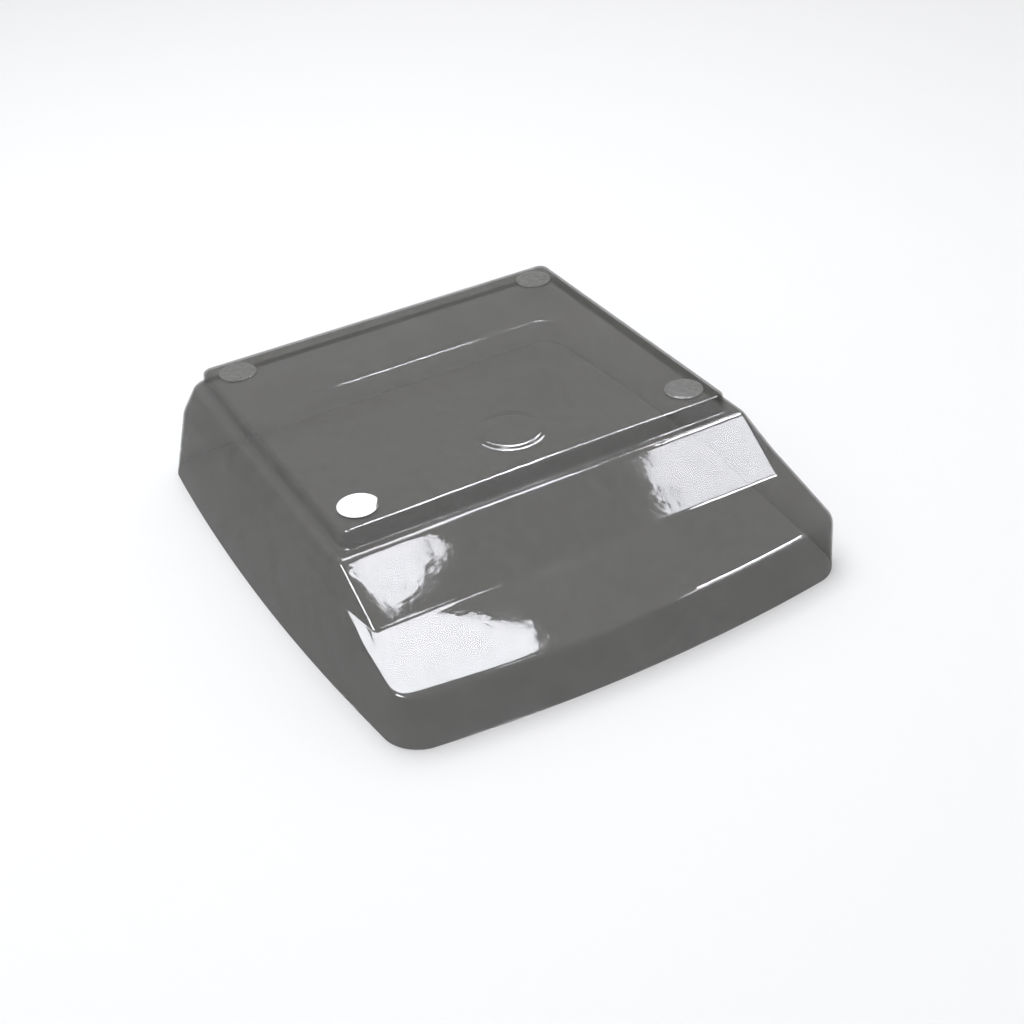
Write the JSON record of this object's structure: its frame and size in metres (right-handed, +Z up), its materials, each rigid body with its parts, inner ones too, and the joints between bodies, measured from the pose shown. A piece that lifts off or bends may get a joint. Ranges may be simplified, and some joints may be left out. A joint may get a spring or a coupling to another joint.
{
  "type": "protective cover",
  "caption": "Thin formed smoke-grey dust and splash cover with a flat deck, stepped ledge, two-pitch sloping front, flared skirt and round adhesive pads.",
  "frame": {"origin": "middle of the rim's bounding box, on the plane that the rim stands on", "axes": "+X to the right seen from the sloping front, +Y towards the straight rear wall, +Z up out of the deck; the sloping front faces -Y"},
  "size_m": [0.336, 0.382, 0.0885],
  "materials": {
    "smoke_sheet": "glossy see-through smoke-grey sheet, vacuum formed",
    "pad_foam": "closed-cell acrylic foam, translucent grey",
    "adhesive": "clear tacky acrylic adhesive film",
    "liner_paper": "white siliconised paper, satin"
  },
  "bodies": {
    "cover": {"cover_shell": "smoke_sheet", "lower_adhesive_front_left": "adhesive", "lower_adhesive_front_right": "adhesive", "lower_adhesive_rear_left": "adhesive", "lower_adhesive_rear_right": "adhesive", "pad_foam_front_left": "pad_foam", "pad_foam_front_right": "pad_foam", "pad_foam_rear_left": "pad_foam", "pad_foam_rear_right": "pad_foam", "upper_adhesive_front_left": "adhesive", "upper_adhesive_front_right": "adhesive", "upper_adhesive_rear_left": "adhesive", "upper_adhesive_rear_right": "adhesive"},
    "liner": {"release_liner": "liner_paper"}
  },
  "joints": [
    {"name": "liner_lift", "type": "slide", "parent": "cover", "child": "liner", "axis": [0, 0, 1], "range_m": [0, 0.05]}
  ]
}
